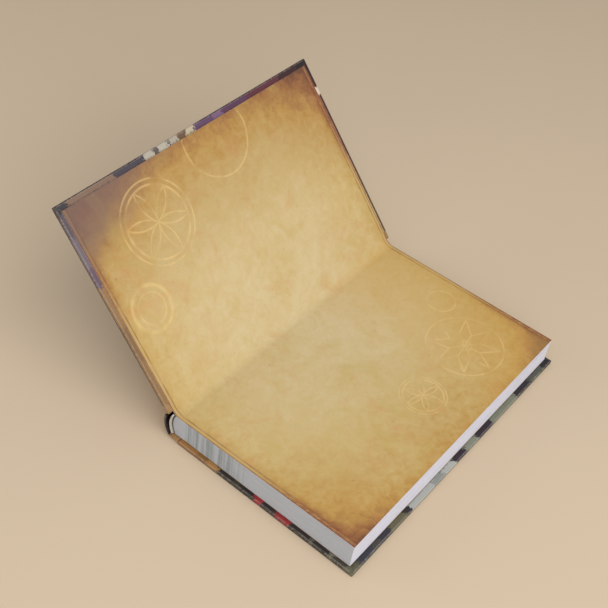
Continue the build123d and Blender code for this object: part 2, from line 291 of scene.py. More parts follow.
class Finish:
    """A procedural material under construction."""

    def __init__(self, name, **fixed):
        self.material = bpy.data.materials.new(name)
        self.material.use_nodes = True
        self.tree = self.material.node_tree
        self.tree.nodes.clear()
        self.shader = self.tree.nodes.new("ShaderNodeBsdfPrincipled")
        ending = self.tree.nodes.new("ShaderNodeOutputMaterial")
        self.tree.links.new(self.shader.outputs[0], ending.inputs[0])
        self.feed(**fixed)

    def add(self, kind, settings=None, sockets=None, output=0):
        """One node of any type: settings first, then the values or links of its sockets."""
        node = self.tree.nodes.new(kind)
        for key, value in (settings or {}).items():
            if key == "stops":
                ramp = node.color_ramp.elements
                while len(ramp) < len(value):
                    ramp.new(0.5)
                for stop, (position, tint) in zip(ramp, value):
                    stop.position = position
                    stop.color = shade(tint)
            else:
                setattr(node, key, value)
        for key, value in (sockets or {}).items():
            self.put(node.inputs[key], value)
        return Value(self, node.outputs[output])

    def put(self, socket, value):
        """Links a varying value to a socket, or sets a plain one or a colour of the panel."""
        if isinstance(value, Value):
            self.tree.links.new(value.socket, socket)
        else:
            socket.default_value = shade(value)

    def feed(self, **sockets):
        """Gives the shader's sockets what is plain or changes over the surface."""
        for socket, value in sockets.items():
            self.put(self.shader.inputs[socket.replace("_", " ")], value)
        return self.material

    def math(self, operation, *operands):
        return self.add("ShaderNodeMath", {"operation": operation}, dict(enumerate(operands)))

    def vector(self, operation, first, second=None, scale=None):
        sockets = {0: first}
        if second is not None:
            sockets[1] = second
        if scale is not None:
            sockets["Scale"] = scale
        output = int(operation in ("DOT_PRODUCT", "DISTANCE", "LENGTH"))
        return self.add("ShaderNodeVectorMath", {"operation": operation}, sockets, output)

    def mix(self, first, second, share):
        """Colour between two colours."""
        return self.add("ShaderNodeMix", {"data_type": "RGBA"}, {0: share, 6: first, 7: second}, 2)

    def layered(self, ground, *coats):
        """A ground colour under coats of (colour, share), each laid over those before it."""
        for tint, share in coats:
            ground = self.mix(ground, tint, share)
        return ground

    def step(self, value, low, high, start=0.0, end=1.0):
        """Smooth step of a value from low to high, giving start to end."""
        return self.add("ShaderNodeMapRange", {"interpolation_type": "SMOOTHSTEP"},
                        {"Value": value, "From Min": low, "From Max": high,
                         "To Min": start, "To Max": end})

    def line(self, value, at, outer, inner):
        """Mask of a line: full within inner of where the value is at, and gone past outer."""
        return self.step(abs(value - at), outer, inner)

    def union(self, first, *others):
        """Mask of all that any of the masks covers."""
        for mask in others:
            first = self.math("MAXIMUM", first, mask)
        return first

    def noise(self, place, scale, detail=3.0, roughness=0.55, distortion=0.0):
        return self.add("ShaderNodeTexNoise", {},
                        {"Vector": place, "Scale": scale, "Detail": detail,
                         "Roughness": roughness, "Distortion": distortion})

    def ramp(self, value, stops, interpolation="LINEAR"):
        node = self.add("ShaderNodeValToRGB", {"stops": stops}, {0: value})
        node.socket.node.color_ramp.interpolation = interpolation
        return node

    def place(self, x=0.0, y=0.0, z=0.0):
        return self.add("ShaderNodeCombineXYZ", {}, {0: x, 1: y, 2: z})

    def object_place(self):
        """Place on a CAD node, in millimetres of the frame at rest."""
        return self.vector("SCALE", self.add("ShaderNodeTexCoord", output=3), scale=1 / MM)

    def sheet_place(self):
        """Place on a sheet made here, in millimetres along and across it."""
        return self.vector("SCALE", self.add("ShaderNodeUVMap", {"uv_map": "sheet"}), scale=1 / MM)

    def apart(self, place):
        """The three coordinates of a place."""
        split = self.add("ShaderNodeSeparateXYZ", {}, {0: place})
        return [Value(self, socket) for socket in split.socket.node.outputs]

    def bump(self, height, depth, strength=1.0):
        """Relief of a given depth in millimetres."""
        return self.add("ShaderNodeBump", {}, {"Height": height, "Strength": strength,
                                               "Distance": depth * MM})


def ring(finish, place, centre, radius, width):
    """Mask of a thin circle."""
    away = finish.vector("DISTANCE", place, (*centre, 0.0))
    return finish.line(away, radius, width, width * LINE_CORE)


def rosette(finish, place, centre, radius, width):
    """Mask of the compass-drawn flower of six petals in its double ring."""
    away = finish.vector("DISTANCE", place, (*centre, 0.0))
    inside = finish.step(away, radius + LINE_END, radius - LINE_END)
    petals = []
    for turn in range(6):
        angle = math.radians(60 * turn + ROSETTE_TURN)
        point = (centre[0] + radius * math.cos(angle), centre[1] + radius * math.sin(angle))
        petals.append(ring(finish, place, point, radius, width))
    return finish.union(finish.union(*petals) * inside,
                        ring(finish, place, centre, radius, width * 1.3),
                        ring(finish, place, centre, radius * 1.16, width))


def star(finish, place, centre, radius, inner, width):
    """Mask of an eight-pointed compass star, drawn in outline between two rings."""
    moved = finish.vector("SUBTRACT", place, (*centre, 0.0))
    across, up, _ = finish.apart(moved)
    eighth = math.pi / 4
    angle = finish.math("ARCTAN2", up, across) / eighth
    fold = abs(finish.math("FRACT", angle + STAR_TURN) - 0.5) * eighth
    away = finish.vector("LENGTH", moved)
    along = away * finish.math("COSINE", fold)
    aside = away * finish.math("SINE", fold)
    tip = (radius * math.cos(eighth / 2), radius * math.sin(eighth / 2))
    edge = (inner - tip[0], -tip[1])
    length = math.hypot(*edge)
    off_edge = abs((along - tip[0]) * (-edge[1] / length) + (aside - tip[1]) * (edge[0] / length))
    core = width * LINE_CORE
    outline = finish.step(off_edge, width, core)
    outline = outline * finish.step(away, radius + LINE_END, radius - LINE_END)
    spoke = finish.step(aside, width, core) * finish.step(away, inner, inner - 2 * LINE_END)
    return finish.union(outline, spoke, ring(finish, place, centre, radius * 1.08, width),
                        ring(finish, place, centre, inner * 0.42, width))


def double_rule(finish, distance, at):
    """Mask of a broad printed rule with a fine one beside it."""
    return finish.line(distance, at, 0.5, 0.2) + finish.line(distance, at + 1.8, 0.3, 0.1)


def parchment(name, sheet, across_span, figures):
    """Printed endpaper that looks like aged parchment. Across runs from one fore edge over the
    gutter to the other, and up from tail to head; figures are drawn in pale gold."""
    finish = Finish(name)
    if sheet:
        place = finish.sheet_place()
        across, up, _ = finish.apart(place)
    else:
        east, up, _ = finish.apart(finish.object_place())
        across = east - SPINE_X
        place = finish.place(across, up)
    low, high = across_span
    cloud = finish.noise(place, 0.017, 4, 0.6, 0.6) - 0.5
    blotch = finish.noise(place, 0.055, 7, 0.68, 0.9) - 0.5
    mottle = finish.noise(place, 0.19, 6, 0.66, 0.7) - 0.5
    fibres = finish.place(across * 0.35 + up * 0.2, up - across * 0.3)
    wisp = finish.noise(fibres, 0.4, 5, 0.7, 1.8) - 0.5
    grain = finish.noise(place, 1.3, 4, 0.7)
    wander = cloud * 34 + blotch * 30

    # Wear, from 0 in the clean middle to 1 at a burnt corner
    from_fore = finish.math("MINIMUM", across - low, high - across)
    from_end = HALF_PAGE - abs(up)
    outer = finish.math("MINIMUM", from_fore, from_end * 1.15)
    edges = (finish.step(from_fore + wander, 88, 6) * 0.3
             + finish.step(from_end + wander, 64, 0) * 0.2
             + finish.step(outer + wander * 0.4, 15, -3) * 0.16)
    corners = finish.step(from_fore + from_end * 0.8 + wander * 0.7, 34, -4)
    corners = corners * (finish.step(across, -20, 20, 0.1, 0.25)
                         + finish.step(across + up, 60, 200) * 0.24)
    pasted = finish.step(from_fore + wander * 0.5, 44, 0) * finish.step(across, 4, -8) * 0.18
    stains = blotch * 0.56 + cloud * 0.26 + mottle * (finish.step(outer, 44, 6) * 0.2 + 0.32) + 0.1
    worn = finish.ramp(edges + corners + pasted + stains, [
        (0.0, "parchment_light"), (0.3, "parchment_mid"), (0.58, "parchment_dark"),
        (0.82, "parchment_brown"), (1.0, "parchment_corner")])

    # Tints, scorched edges, rules and the drawn figures
    olive = finish.step(finish.noise(place, 0.03, 5, 0.65, 1.2), 0.5, 0.72)
    blush = finish.step(finish.noise(finish.place(up, across), 0.04, 5, 0.65, 1.2), 0.52, 0.74)
    dusk = finish.step(across + abs(up + HALF_PAGE) * 0.5 + wander * 0.5, low + 46, low + 18)
    veil = finish.step(across + wander * 0.5, low + 80, low + 35)
    warm = finish.step(up + wander * 0.5, 5, 75) * finish.step(across, -6, 4)
    drawn = finish.union(*(kind(finish, place, *sizes) for kind, *sizes in figures))
    faded = finish.step(finish.noise(place, 0.09, 3), 0.38, 0.6)
    faint = finish.step(finish.noise(place, 0.12, 3), 0.3, 0.65)
    rule = finish.line(from_end, 2.5, 0.6, 0.15) * (faint * 0.36 + 0.22)
    hairline = finish.step(from_end + mottle * 0.4, 0.75, 0.35) * (faint * 0.4 + 0.4)
    singed = finish.step(from_end + blotch * 8, 6.5, 0.5)
    singed = singed * finish.step(abs(across) + abs(up), 142, 196) * (1 - dusk)
    speck = finish.step(finish.noise(place, 0.5, 3, 0.6, 1.0), 0.62, 0.76)
    tone = finish.layered(
        worn,
        (OLIVE, olive * 0.42),
        (BLUSH, blush * 0.3),
        (EDGE_STRIP, finish.step(from_end, 2.7, 2.3) * 0.55),
        ("parchment_dusk", dusk * 0.68 + veil * 0.1),
        (HONEY, warm * 0.34),
        ("gilding", drawn * (faded * 0.36 + 0.07)),
        ("parchment_corner", rule),
        (HAIRLINE, hairline),
        (SINGED, singed * (finish.step(wisp, -0.12, 0.1) * 0.45 + 0.35)),
        ("parchment_brown", speck * 0.3),
        (PALE_WISP, finish.step(wisp, 0.12, 0.32) * 0.2),
        ("parchment_dark", finish.step(wisp, -0.1, -0.3) * 0.2))
    return finish.feed(Base_Color=tone, Roughness=grain * 0.16 + 0.7,
                       Normal=finish.bump(grain * 0.5 + mottle, 0.05, 0.5))


def page_edges():
    """Cut edges of the leaves: fine lines along them, grey bars where ink reaches the cut, painted
    shade that makes the tail edge a little greyer, and a painted shadow at its spine end beside the
    tail band. Along starts at the spine and runs round by the tail."""
    finish = Finish("page_edges")
    along, height, _ = finish.apart(finish.sheet_place())
    leaves = finish.noise(finish.place(along * 0.012, height * 5.2), 1.0, 4, 0.75)
    drift = finish.noise(finish.place(along * 0.05, height * 0.35), 1.0, 3)
    bars = finish.noise(finish.place(along * 0.34, height * 0.01), 1.0, 1.6, 0.6)
    broken = finish.noise(finish.place(along * 0.3, height * 0.2), 1.0, 3)
    band = finish.step(along, 7, 10) * finish.step(along, 56, 42)
    share = abs(height / SPINE_THICKNESS - 0.5) * 2
    from_spine = along + (1 - share * share) * SPINE_ROUND
    tone = finish.layered(
        "page",
        ("page_shade", finish.step(leaves, 0.45, 0.8) * 0.5),
        ("page_shade", finish.step(drift, 0.45, 0.75) * 0.25),
        (INK, finish.step(bars, 0.38, 0.62) * band * (broken * 0.5 + 0.5)),
        # Painted shade: the tail edge a little greyer than the fore edge and head
        (TAIL_PAINTED_SHADE, finish.step(along, PAGE_WIDTH + 1, PAGE_WIDTH - 1) * 0.55),
        # Painted shadow: dark page edges at the spine end of the tail edge, beside the tail band
        (TAIL_BAND_PAINTED_SHADOW, finish.step(from_spine + leaves * 0.3, 1.25, 0.65) * 0.85))
    return finish.feed(Base_Color=tone, Roughness=leaves * 0.1 + 0.82,
                       Normal=finish.bump(leaves, 0.06, 0.6))


def cut_paper():
    """White cut edge of one sheet of paper."""
    finish = Finish("cut_paper", Roughness=0.9)
    fibre = finish.noise(finish.sheet_place(), 1.6, 3)
    return finish.feed(Base_Color=finish.mix("page", "page_shade", fibre * 0.5))


def plain_paper(name, light, dark, scale):
    """Uncoated paper or board with fibres and small stains."""
    finish = Finish(name)
    place = finish.object_place()
    fibre = finish.noise(place, scale, 5, 0.75, 0.6)
    stain = finish.noise(place, scale * 0.12, 3)
    tone = finish.mix(light, dark, finish.step(fibre, 0.4, 0.75) * 0.5 + stain * 0.2)
    return finish.feed(Base_Color=tone, Roughness=fibre * 0.12 + 0.82,
                       Normal=finish.bump(fibre, 0.08, 0.7))


def woven(name, light, dark, pitch):
    """Plain weave of two threads."""
    finish = Finish(name, Roughness=0.92, Sheen_Weight=0.25)
    place = finish.object_place()
    across, up, high = finish.apart(place)
    warp = finish.math("SINE", (across * 0.35 + high) * (2 * math.pi / pitch)) * 0.5 + 0.5
    weft = finish.math("SINE", up * (2 * math.pi / pitch)) * 0.5 + 0.5
    weave = finish.union(warp, weft)
    fluff = finish.noise(place, 2.2, 4)
    tone = finish.mix(dark, light, weave * 0.75 + (fluff - 0.5) * 0.4)
    return finish.feed(Base_Color=tone, Normal=finish.bump(weave, 0.12, 0.8))


def band_thread(pitch):
    """Wound thread in two alternating colours, with a painted sheen along its twist and paler
    fluff.
    """
    finish = Finish("band_thread", Sheen_Weight=0.3)
    place = finish.sheet_place()
    along, around, _ = finish.apart(place)
    wave = finish.math("SINE", along * (math.pi / pitch)) * 0.5 + 0.5
    twist = finish.math("SINE", (along * 2.4 + around) * 14) * 0.5 + 0.5
    fluff = finish.noise(place, 3.0, 4)
    tone = finish.layered("cloth_stripe", ("cloth", finish.step(wave, 0.3, 0.6)),
                          # Painted sheen on the ridges of the twist, and paler fluff at random
                          (PAINTED_SHEEN_AND_FLUFF, twist * 0.2 + fluff * 0.1))
    return finish.feed(Base_Color=tone, Roughness=fluff * 0.1 + 0.8,
                       Normal=finish.bump(twist, 0.05, 0.6))


def patches(*fields):
    """Stops of a constant ramp: each field is where it starts, 0 to 1, and its colour."""
    return [(start, srgb(*tint)) for start, *tint in fields]


# Fields of the print where it is folded over, along a cover's fore edge from tail to head
FRONT_FORE = patches(
    (0.0, 58, 52, 56), (0.04, 134, 106, 88), (0.20, 72, 64, 74), (0.31, 184, 176, 160),
    (0.345, 96, 84, 80), (0.36, 186, 178, 162), (0.40, 74, 60, 66), (0.41, 178, 168, 150),
    (0.44, 112, 84, 60), (0.475, 196, 182, 154), (0.505, 98, 68, 100), (0.58, 122, 92, 124),
    (0.62, 92, 56, 84), (0.73, 96, 44, 56), (0.87, 60, 30, 34), (0.95, 36, 24, 26))
BACK_FORE = patches(
    (0.0, 88, 84, 62), (0.04, 50, 50, 60), (0.10, 66, 64, 60), (0.13, 46, 46, 54),
    (0.17, 98, 94, 68), (0.235, 38, 34, 36), (0.26, 172, 174, 170), (0.37, 142, 146, 142),
    (0.42, 176, 178, 172), (0.475, 42, 32, 46), (0.53, 132, 136, 120), (0.59, 40, 30, 44),
    (0.67, 122, 126, 108), (0.80, 40, 34, 40), (0.88, 84, 86, 76), (0.95, 34, 30, 32))
# The same along the tail edge, from the joint to the fore edge
FRONT_TAIL = patches(
    (0.0, 148, 112, 68), (0.22, 136, 102, 62), (0.40, 152, 116, 74), (0.60, 104, 84, 98),
    (0.70, 116, 102, 110), (0.84, 92, 80, 88), (0.95, 58, 52, 56))
BACK_TAIL = patches(
    (0.0, 160, 112, 58), (0.10, 138, 96, 46), (0.17, 170, 124, 64), (0.225, 44, 38, 34),
    (0.33, 58, 54, 44), (0.36, 40, 34, 32), (0.442, 158, 36, 44), (0.492, 44, 36, 34),
    (0.573, 150, 38, 44), (0.648, 42, 36, 34), (0.76, 96, 94, 76), (0.78, 44, 40, 36),
    (0.86, 112, 110, 92), (0.89, 62, 58, 48), (0.95, 100, 96, 76))
# And along the head edge
FRONT_HEAD = patches(
    (0.0, 206, 168, 116), (0.28, 198, 150, 104), (0.46, 176, 118, 88), (0.66, 158, 96, 80),
    (0.802, 224, 208, 186), (0.851, 104, 52, 50), (0.93, 60, 32, 36))
BACK_HEAD = patches(
    (0.0, 164, 118, 62), (0.22, 60, 52, 46), (0.40, 126, 120, 100), (0.52, 46, 40, 44),
    (0.74, 118, 116, 100), (0.90, 40, 34, 36))


def cover_print(name, hinge, way, out, rimmed, fore, tail, head):
    """Laminated printed covering of one cover. What is folded over the board shows fields of the
    print, inside a dark rim at head and fore edge if rimmed; outside it is tan at the joint and
    dusky beyond, with a ruled frame and a plain emblem."""
    finish = Finish(name, Coat_Weight=0.1, Coat_Roughness=0.3)
    place = finish.object_place()
    up = finish.apart(place)[1]
    moved = finish.vector("SUBTRACT", place, tuple(hinge))
    reach = finish.vector("DOT_PRODUCT", moved, tuple(way))
    level = finish.vector("DOT_PRODUCT", moved, tuple(out))
    flat = finish.place(reach, up, level)
    cloud = finish.noise(flat, 0.035, 4, 0.6, 0.8) - 0.5
    smoke = finish.noise(flat, 0.13, 5, 0.65, 1.2) - 0.5
    ragged = finish.noise(flat, 0.42, 3, 0.6, 0.8) - 0.5
    fleck = finish.noise(flat, 0.8, 4, 0.7, 0.6)
    fibre = finish.noise(flat, 1.6, 3)
    warp = smoke * 5 + ragged * 9 + (fleck - 0.5) * 4
    along = (reach - BOARD_START + warp) / (COVER_REACH - BOARD_START)
    across = (up + HALF_COVER + warp) / (2 * HALF_COVER)
    from_fore = COVER_REACH - reach
    from_end = HALF_COVER - abs(up)
    from_rim = finish.math("MINIMUM", from_fore, from_end)

    # Folded over: the fields of head and tail as far as the mitre, then those of the fore edge
    ends = finish.mix(finish.ramp(along, tail, "CONSTANT"), finish.ramp(along, head, "CONSTANT"),
                      finish.step(up, -1, 1))
    mitre = finish.step(from_end - from_fore, -0.3, 0.3)
    # Painted shadow: the turn-in darker inward from its rim, towards the pages and the pasted
    # endpaper
    painted_page_shadow = finish.step(from_rim + ragged * 4, 2.5, 4.2) * finish.step(reach, 36, 44)
    scuffed = finish.line(from_rim, 0.5, 0.5, 0.15) * finish.step(fleck, 0.35, 0.6)
    folded = finish.layered(
        ends,
        (finish.ramp(across, fore, "CONSTANT"), mitre),
        ("cover_pale", finish.step(fleck, 0.6, 0.72) * 0.16),
        ("cover_dusk", finish.step(fleck, 0.4, 0.28) * 0.3),
        # Painted shadow inward of the rim
        ("cover_black", painted_page_shadow * 0.5),
        ("cover_pale", scuffed * 0.34))
    if rimmed:
        whole = (1 - mitre * finish.line(across, 0.41, 0.13, 0.09)
                 - (1 - mitre) * finish.line(along, 0.827, 0.03, 0.022))
        rim = finish.union(finish.step(HALF_COVER - up + ragged, 2.0, 1.7),
                           finish.step(from_fore + ragged * 0.3, 0.55, 0.35))
        folded = finish.mix(folded, "cover_black", rim * whole * 0.85)

    # Outside of the cover
    haze = finish.step(finish.noise(flat, 0.022, 5, 0.65, 1.5), 0.54, 0.72)
    centre = ((BOARD_START + COVER_REACH) / 2, 0.0)
    emblem = finish.union(star(finish, flat, centre, 27, 11, 0.45),
                          double_rule(finish, from_rim, 9) * finish.step(reach, 15.4, 15.8))
    shown = finish.layered(
        "cover_tan",
        ("cover_dusk", finish.step(reach + cloud * 22 + smoke * 8, 20, 46)),
        ("cover_wine", finish.step(cloud + smoke * 0.5, 0.04, 0.14) * 0.6),
        ("cover_pale", haze * 0.32),
        ("cover_gold", emblem * (finish.step(fleck, 0.3, 0.5) * 0.4 + 0.4)),
        ("cover_black", finish.step(from_rim + warp * 0.3, 3.4, 2.6) * 0.85))

    worn = finish.step(from_rim + smoke * 1.6, 0.5, 0.05) * finish.step(fleck, 0.5, 0.62)
    tone = finish.layered(folded, (shown, finish.step(level + warp * 0.06, 1.1, 1.25)),
                          ("cover_pale", worn * 0.35))
    return finish.feed(Base_Color=tone, Roughness=fibre * 0.2 + 0.34 + worn * 0.3,
                       Normal=finish.bump(fibre + smoke * 0.3, 0.03, 0.5))


def spine_print(name, sheet):
    """Covering of the hollow back and its joints: warm tan, with painted shade making it near black
    on its inner face and where it is folded in at head and tail of the back, darker where it is
    creased and rubbed."""
    finish = Finish(name, Coat_Weight=0.15, Coat_Roughness=0.3)
    place = finish.sheet_place() if sheet else finish.object_place()
    across, up, height = finish.apart(place)
    cloud = finish.noise(place, 0.05, 4, 0.6, 0.6)
    smoke = finish.noise(place, 0.22, 5, 0.65, 1.0)
    fibre = finish.noise(place, 1.6, 3)
    from_end = HALF_COVER - abs(up)
    tone = finish.layered("cover_tan",
                          ("cover_umber", finish.step(cloud, 0.4, 0.7) * 0.6),
                          ("cover_umber", finish.step(smoke, 0.48, 0.75) * 0.5))
    if sheet:
        creased = finish.step(across + smoke, 2.6, 0.8)
        tone = finish.mix(tone, "cover_umber", creased * 0.5 + 0.2)
    else:
        from_centre = finish.vector("DISTANCE", finish.place(across, 0.0, height),
                                    tuple(HOLLOW_CENTRE))
        # Painted shade: near black over the inner face of the hollow back and within a millimetre
        # of head and tail
        dark = finish.union(
            finish.step(from_centre, HOLLOW_RADIUS - 0.1, HOLLOW_RADIUS - 0.2),
            finish.step(from_end + smoke * 0.8, 0.9, 0.5))
        tone = finish.layered(tone, ("cover_gold", double_rule(finish, from_end, 18) * 0.8),
                              ("cover_black", dark))
    worn = finish.step(from_end + (smoke - 0.5) * 1.4, 0.5, 0.0) * finish.step(smoke, 0.5, 0.6)
    tone = finish.mix(tone, "cover_pale", worn * 0.25)
    return finish.feed(Base_Color=tone, Roughness=fibre * 0.2 + 0.36,
                       Normal=finish.bump(fibre + smoke * 0.4, 0.04, 0.5))


def dress(node, material):
    """Gives a CAD node its finish."""
    mesh = frame["nodes"][node].data
    mesh.materials.clear()
    mesh.materials.append(material)


def arc_between(low, middle, high, steps):
    """Points of the arc through three points of a cross-section, with its centre and radius."""
    (ax, az), (bx, bz), (cx, cz) = low[[0, 2]], middle[[0, 2]], high[[0, 2]]
    twice = 2 * (ax * (bz - cz) + bx * (cz - az) + cx * (az - bz))
    a, b, c = ax ** 2 + az ** 2, bx ** 2 + bz ** 2, cx ** 2 + cz ** 2
    centre = section((a * (bz - cz) + b * (cz - az) + c * (az - bz)) / twice,
                     (a * (cx - bx) + b * (ax - cx) + c * (bx - ax)) / twice)
    radius = np.linalg.norm(low - centre)
    angles = [math.atan2(p[2] - centre[2], p[0] - centre[0]) % (2 * math.pi) for p in (low, high)]
    turn = np.linspace(*angles, steps)
    points = centre + radius * np.stack([np.cos(turn), np.zeros(steps), np.sin(turn)], 1)
    return points, centre, radius


_, HOLLOW_CENTRE, HOLLOW_RADIUS = arc_between(CASE_LOW, CASE_MID, CASE_TOP, 3)


def rounded(corners, radius, steps=10, spacing=0.3):
    """Points along a run of straights whose corners are rounded, close enough to bend smoothly."""
    line = [corners[0]]
    for before, corner, after in zip(corners, corners[1:], corners[2:]):
        arrive = (corner - before) / np.linalg.norm(corner - before)
        leave = (after - corner) / np.linalg.norm(after - corner)
        turn = math.acos(np.clip(arrive @ leave, -1, 1))
        start = corner - arrive * radius * math.tan(turn / 2)
        inward = leave - arrive * (arrive @ leave)
        centre = start + radius * inward / np.linalg.norm(inward)
        for swing in turn * np.linspace(0, 1, steps):
            line.append(centre + (start - centre) * math.cos(swing)
                        + arrive * radius * math.sin(swing))
    line.append(corners[-1])
    filled = []
    for a, b in zip(line, line[1:]):
        count = max(1, int(np.linalg.norm(b - a) / spacing))
        filled += [a + (b - a) * k / count for k in range(count)]
    return np.array(filled + [line[-1]])


def meet(start, start_way, end, end_way):
    """Where two lines of a cross-section cross."""
    apart = end - start
    cross = start_way[0] * end_way[2] - start_way[2] * end_way[0]
    return start + start_way * (apart[0] * end_way[2] - apart[2] * end_way[0]) / cross


def lengths_of(line):
    """Distance run along a line at each of its points."""
    return np.concatenate([[0], np.cumsum(np.linalg.norm(np.diff(line, axis=0), axis=1))])


def resampled(line, count):
    """The same line with a given number of points, evenly apart."""
    run = lengths_of(line)
    even = np.linspace(0, run[-1], count)
    return np.stack([np.interp(even, run, line[:, axis]) for axis in range(3)], 1)


def normals_of(line):
    """Left-hand normals along a line of a cross-section."""
    way = np.gradient(line, axis=0)
    way /= np.linalg.norm(way, axis=1)[:, None]
    return np.stack([-way[:, 2], way[:, 1], way[:, 0]], 1)


def smooth(value, low, high):
    """Smooth step from 0 to 1 as a value goes from low to high."""
    t = np.clip((value - low) / (high - low), 0, 1)
    return t * t * (3 - 2 * t)


def spread(start, *stretches):
    """Grid lines from start on, over stretches that are each a number of steps and an end."""
    lines = [start]
    for count, end in zip(stretches[::2], stretches[1::2]):
        lines += list(np.linspace(lines[-1], end, count + 1)[1:])
    return np.array(lines)


def front_place(reach, level):
    """A place of the open front cover: how far along it from its hinge, and how far out."""
    return FRONT_HINGE + COVER_WAY * reach + COVER_OUT * level


def lifted(up):
    """Shifts from tail to head, to be added to the points of a cross-section."""
    return np.array([0.0, 1.0, 0.0]) * up[None, :, None]


def sheet_spots(along, up):
    """Places on a sheet, in millimetres, of a grid of points."""
    return np.stack(np.broadcast_arrays(along[:, None], up[None, :]), -1)


def mesh_piece(name, points, faces, spots, materials, sharp=None):
    """A piece from points, their places on its sheet, both in millimetres, and faces. It is shaded
    smooth but for edges over the angle sharp, in degrees, or flat where none is given."""
    mesh = bpy.data.meshes.new(name)
    mesh.from_pydata((points.reshape(-1, 3) * MM).tolist(), [], faces)
    corners = np.concatenate([np.array(face) for face in faces])
    layer = mesh.uv_layers.new(name="sheet")
    layer.data.foreach_set("uv", (spots.reshape(-1, 2)[corners] * MM).ravel())
    for material in materials:
        mesh.materials.append(material)
    if sharp is not None:
        mesh.shade_smooth()
        mesh.set_sharp_from_angle(angle=math.radians(sharp))
    mesh.update()
    piece = bpy.data.objects.new(name, mesh)
    bpy.context.scene.collection.objects.link(piece)
    return piece


def bar_faces(count, around):
    """Faces of a closed bar: quads between its loops of points, and one face over each end."""
    at = np.arange(count * around).reshape(count, around)
    after = np.roll(at, -1, axis=1)
    sides = np.stack([at[:-1], after[:-1], after[1:], at[1:]], -1).reshape(-1, 4)
    return sides.tolist() + [at[0, ::-1].tolist(), at[-1].tolist()]


def slab(name, front, back, spots, materials):
    """A thin piece from its two faces, given as grids of points in millimetres, with the place on
    the sheet of each grid point. The rim takes the last material."""
    rows, columns = front.shape[:2]
    under = rows * columns
    at = np.arange(under).reshape(rows, columns)
    quads = np.stack([at[:-1, :-1], at[1:, :-1], at[1:, 1:], at[:-1, 1:]], -1).reshape(-1, 4)
    rim = np.concatenate([at[:, 0], at[-1, 1:], at[-2::-1, -1], at[0, -2::-1]])
    edge = np.stack([rim[:-1], rim[:-1] + under, rim[1:] + under, rim[1:]], -1)
    faces = np.concatenate([quads, quads[:, ::-1] + under, edge])
    piece = mesh_piece(name, np.stack([front, back]), faces.tolist(), np.stack([spots, spots]),
                       materials, 40)
    tags = np.zeros(len(faces), np.int32)
    tags[len(quads) * 2:] = len(materials) - 1
    piece.data.polygons.foreach_set("material_index", tags)
    return piece


class BOOK_OT_page_block(bpy.types.Operator):
    """Builds the text block as groups of leaves with a rounded, sectioned spine."""

    bl_idname = "book.page_block"
    bl_label = "Text Block"

    def execute(self, context):
        sizes = context.scene.book_sizes
        stray = np.random.default_rng(7)
        _, centre, radius = arc_between(SPINE_FOOT, SPINE_MIDDLE, SPINE_CROWN, 3)
        points, spots = [], []
        for group in range(sizes.leaf_groups):
            out = stray.normal(0, 1) * sizes.leaf_stray / MM * 0.5
            # A group of leaves stands out between the notches at its foot and its top
            for share, stands in ((0.03, GROUP_NOTCH), (0.3, out), (0.7, out), (0.97, GROUP_NOTCH)):
                height = (group + share) / sizes.leaf_groups
                row, run = self.outline(height, np.clip(stands, GROUP_DEEPEST, 0.0), centre, radius)
                points.append(row)
                spots.append(np.stack([run, np.full(len(run), height * SPINE_THICKNESS)], 1))
        points, spots = np.array(points), np.array(spots)
        faces = bar_faces(*points.shape[:2])
        piece = mesh_piece("leaves", points, faces, spots, [page_edges()])
        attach(piece, "book_block")
        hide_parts("text_block")
        return {"FINISHED"}

    def outline(self, height, out, centre, radius):
        """The block's outline at a share of its height, from the spine round by the tail, the fore
        edge and the head, and the distance run along it from the spine."""
        spine_z = SPINE_FOOT[2] + height * (SPINE_CROWN[2] - SPINE_FOOT[2])
        fold = SECTION_FOLD * (1 - (2 * ((height * SECTIONS) % 1) - 1) ** 2)
        spine_x = centre[0] - math.sqrt(radius ** 2 - (spine_z - centre[2]) ** 2) - fold
        fore_x = FORE_X - FORE_HOLLOW * (1 - (2 * height - 1) ** 2) + out
        half = HALF_PAGE + out
        side = np.linspace(0, 1, 27)
        fore = np.linspace(-half, half, 32)[1:-1]
        xs = np.concatenate([spine_x + (fore_x - spine_x) * side, np.full(len(fore), fore_x),
                             fore_x + (spine_x - fore_x) * side])
        ys = np.concatenate([np.full(len(side), -half), fore, np.full(len(side), half)])
        crown = SPINE_CROWN[2] + np.clip(xs - SPINE_X, 0, None) * math.tan(LEAF_SLOPE)
        zs = np.where(xs < SPINE_X, spine_z, SPINE_FOOT[2] + height * (crown - SPINE_FOOT[2]))
        run = spine_x - SPINE_X + lengths_of(np.stack([xs, ys], 1))
        return np.stack([xs, ys, zs], 1), run


